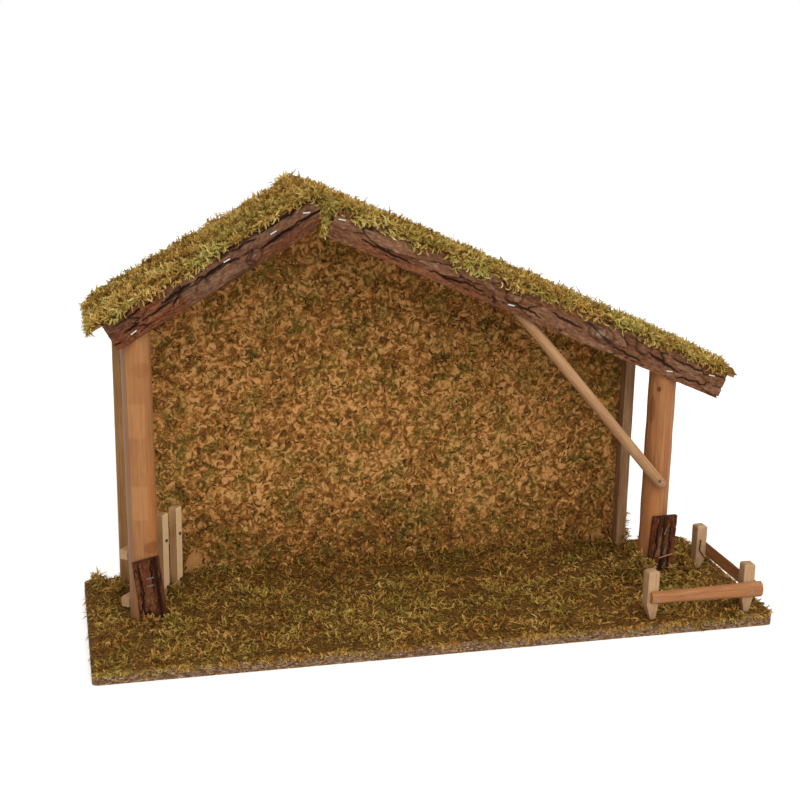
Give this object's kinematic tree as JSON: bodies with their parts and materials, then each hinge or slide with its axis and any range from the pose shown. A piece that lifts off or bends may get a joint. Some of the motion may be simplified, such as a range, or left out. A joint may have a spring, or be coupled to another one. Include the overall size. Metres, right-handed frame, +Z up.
{
  "type": "nativity stable",
  "caption": "Open-fronted rustic stable for nativity figures: round posts, bark-edged roof with two slopes, moss-covered board, corner brace and low fences.",
  "frame": {"origin": "middle of the base board's underside", "axes": "+X to the right along the board, +Y to the back wall so that the open front faces -Y, +Z up"},
  "size_m": [0.6, 0.2, 0.3851],
  "materials": {
    "chipboard": "raw pressed chipboard with speckled cut edges",
    "moss": "dried moss, olive to ochre, matte",
    "wall_flakes": "glued crumbs of moss and bark, matte",
    "fibreboard": "thin raw fibreboard",
    "bark": "rough conifer bark, matte",
    "peeled_wood": "peeled stick, orange-tan, lightly oiled",
    "grey_wood": "sawn batten, grey-brown stain",
    "pale_wood": "raw sawn or whittled pale wood",
    "red_wood": "split reddish wood, raw",
    "steel": "bright wire staples, nails and screws"
  },
  "bodies": {
    "root": {"back_left_batten": "peeled_wood", "back_left_batten_screw": "steel", "back_rafter_left": "grey_wood", "back_rafter_right": "grey_wood", "back_right_batten": "grey_wood", "back_right_batten_screw": "steel", "back_wall": "fibreboard", "bark_strip_left": "bark", "bark_strip_right": "bark", "base_board": "chipboard", "brace_nail": "steel", "corner_brace": "pale_wood", "front_left_post": "peeled_wood", "front_left_post_screw": "steel", "front_rafter_left": "grey_wood", "front_rafter_right": "grey_wood", "front_rail_nail_corner": "steel", "front_rail_nail_inner": "steel", "front_right_post": "peeled_wood", "front_right_post_screw": "steel", "ground_moss": "moss", "left_picket_far": "pale_wood", "left_picket_far_nail_lower": "steel", "left_picket_far_nail_upper": "steel", "left_picket_near": "pale_wood", "left_picket_near_nail_lower": "steel", "left_picket_near_nail_upper": "steel", "left_post_bark": "bark", "left_post_bark_staple_1": "steel", "left_post_bark_staple_2": "steel", "left_rail_lower": "pale_wood", "left_rail_lower_nail": "steel", "left_rail_upper": "pale_wood", "left_rail_upper_nail": "steel", "right_post_bark": "bark", "right_post_bark_staple_1": "steel", "right_post_bark_staple_2": "steel", "right_post_bark_staple_3": "steel", "roof_board_left": "fibreboard", "roof_board_right": "fibreboard", "roof_moss_left": "moss", "roof_moss_right": "moss", "side_rail_nail_corner": "steel", "side_rail_nail_rear": "steel", "strip_staple_1": "steel", "strip_staple_2": "steel", "strip_staple_3": "steel", "strip_staple_4": "steel", "strip_staple_5": "steel", "strip_staple_6": "steel", "strip_staple_7": "steel", "strip_staple_8": "steel", "wall_moss_flakes": "wall_flakes", "yard_peg_corner": "pale_wood", "yard_peg_inner": "pale_wood", "yard_peg_rear": "pale_wood", "yard_rail_front": "red_wood", "yard_rail_side": "red_wood"}
  },
  "joints": []
}
